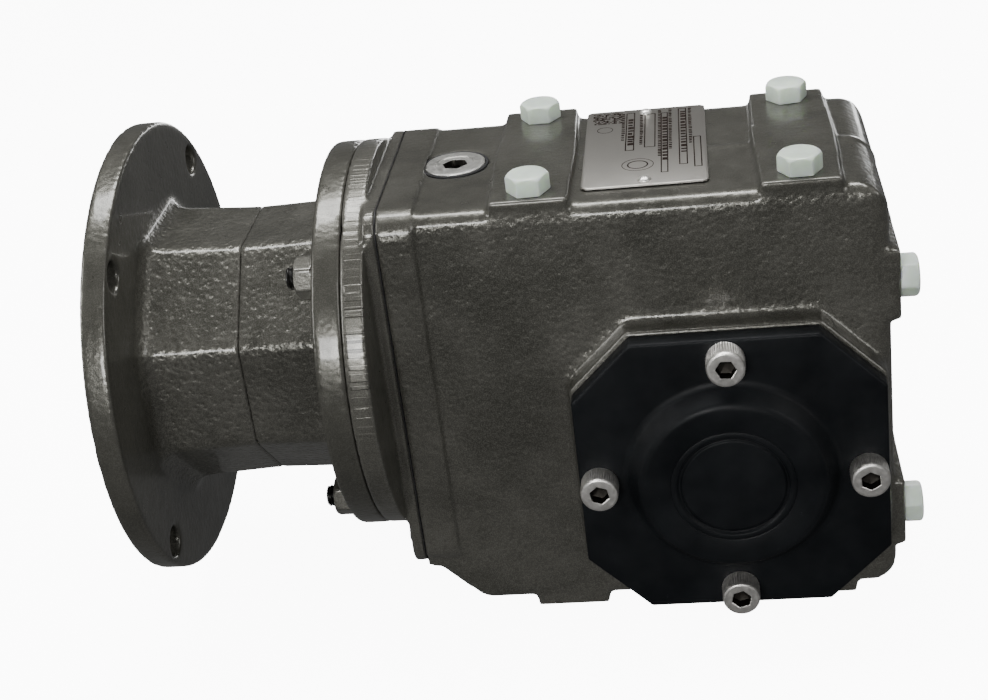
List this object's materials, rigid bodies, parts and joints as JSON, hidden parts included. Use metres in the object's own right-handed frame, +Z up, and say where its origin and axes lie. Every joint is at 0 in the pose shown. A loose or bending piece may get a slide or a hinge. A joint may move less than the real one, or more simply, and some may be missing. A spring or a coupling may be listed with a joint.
{
  "type": "right angle bevel gearbox",
  "caption": "Right-angle helical-bevel gearbox with a round motor adapter flange, an octagonal covered output boss and a keyed hollow output shaft.",
  "frame": {"origin": "on the output shaft's axis at the housing's mid-plane", "axes": "+Y along the output axis, out of the open side where the machine shaft enters; the input axis runs along X above it, the motor on the -X side; +Z up, away from the foot pads"},
  "size_m": [0.2738, 0.165, 0.1782],
  "materials": {
    "cast_paint": "metallic grey-bronze paint over a sand casting, semi-gloss",
    "cover_black": "black satin moulded plastic",
    "stainless": "turned stainless steel",
    "plate_metal": null,
    "nylon": "natural nylon, slightly translucent",
    "black_steel": "black-oxide steel",
    "ground_steel": "ground steel",
    "gear_steel": "case-hardened gear steel with an oil film",
    "bearing_steel": "polished bearing steel",
    "cage_brass": "pressed cage",
    "gasket_black": "black sealing rubber",
    "seal_rubber": "brown seal rubber",
    "coupling_alloy": "turned aluminium",
    "spider_red": "red polyurethane"
  },
  "bodies": {
    "housing": {"gear_housing": "cast_paint", "pinion_housing": "cast_paint", "coupling_housing": "cast_paint", "motor_adapter": "cast_paint", "housing_gasket": "gasket_black", "housing_screws": "black_steel", "housing_dowels": "ground_steel", "adapter_studs": "black_steel", "adapter_nuts": "black_steel", "adapter_o_ring": "gasket_black", "hub_joint_screws": "black_steel", "output_cover": "cover_black", "cover_screws": "stainless", "cover_gasket": "gasket_black", "nameplate": "plate_metal", "nameplate_pins": "stainless", "oil_filler_plug": "stainless", "oil_filler_seal": "gasket_black", "oil_drain_plug": "stainless", "oil_level_plug": "stainless", "top_hole_plugs": "nylon", "end_hole_plugs": "nylon", "bearing_closing_cap": "cast_paint", "output_retaining_rings": "black_steel", "output_shaft_seals": "seal_rubber", "output_bearing_outer_rings": "bearing_steel", "intermediate_bearing_outer_rings": "bearing_steel", "input_seal": "seal_rubber", "pinion_bearing_outer_rings": "bearing_steel"},
    "output_assembly": {"output_shaft": "ground_steel", "output_gear": "gear_steel", "output_gear_key": "ground_steel", "output_spacer": "ground_steel", "output_shaft_circlips": "black_steel", "output_bearing_inner_rings": "bearing_steel"},
    "output_rollers": {"output_bearing_balls": "bearing_steel", "output_bearing_cages": "cage_brass"},
    "intermediate_assembly": {"intermediate_shaft": "gear_steel", "bevel_wheel": "gear_steel", "bevel_wheel_key": "ground_steel", "intermediate_bearing_inner_rings": "bearing_steel"},
    "intermediate_rollers": {"intermediate_bearing_balls": "bearing_steel", "intermediate_bearing_cages": "cage_brass"},
    "input_assembly": {"bevel_pinion_shaft": "gear_steel", "pinion_bearing_spacer": "ground_steel", "pinion_locknut": "black_steel", "pinion_bearing_inner_rings": "bearing_steel", "gearbox_coupling_hub": "coupling_alloy", "motor_coupling_hub": "coupling_alloy", "coupling_spider": "spider_red", "coupling_key": "ground_steel", "coupling_clamp_screw": "black_steel"},
    "input_rollers": {"pinion_bearing_balls": "bearing_steel", "pinion_bearing_cages": "cage_brass"}
  },
  "joints": [
    {"name": "output_spin", "type": "hinge", "parent": "housing", "child": "output_assembly", "pos_m": [0, 0, 0], "axis": [0, 1, 0], "continuous": true},
    {"name": "output_rollers_spin", "type": "hinge", "parent": "housing", "child": "output_rollers", "pos_m": [0, 0, 0], "axis": [0, 1, 0], "continuous": true},
    {"name": "intermediate_spin", "type": "hinge", "parent": "housing", "child": "intermediate_assembly", "pos_m": [-0.04873, 0, 0.035], "axis": [0, 1, 0], "continuous": true},
    {"name": "intermediate_rollers_spin", "type": "hinge", "parent": "housing", "child": "intermediate_rollers", "pos_m": [-0.04873, 0, 0.035], "axis": [0, 1, 0], "continuous": true},
    {"name": "input_spin", "type": "hinge", "parent": "housing", "child": "input_assembly", "pos_m": [0, 0, 0.035], "axis": [1, 0, 0], "continuous": true},
    {"name": "input_rollers_spin", "type": "hinge", "parent": "housing", "child": "input_rollers", "pos_m": [0, 0, 0.035], "axis": [1, 0, 0], "continuous": true}
  ],
  "couplings": [
    {"joint": "output_rollers_spin", "follows": "output_spin", "ratio": 0.42685},
    {"joint": "intermediate_spin", "follows": "output_spin", "ratio": -3.2143},
    {"joint": "intermediate_rollers_spin", "follows": "output_spin", "ratio": -1.2265},
    {"joint": "input_spin", "follows": "output_spin", "ratio": -7.2321},
    {"joint": "input_rollers_spin", "follows": "output_spin", "ratio": -2.7633}
  ]
}
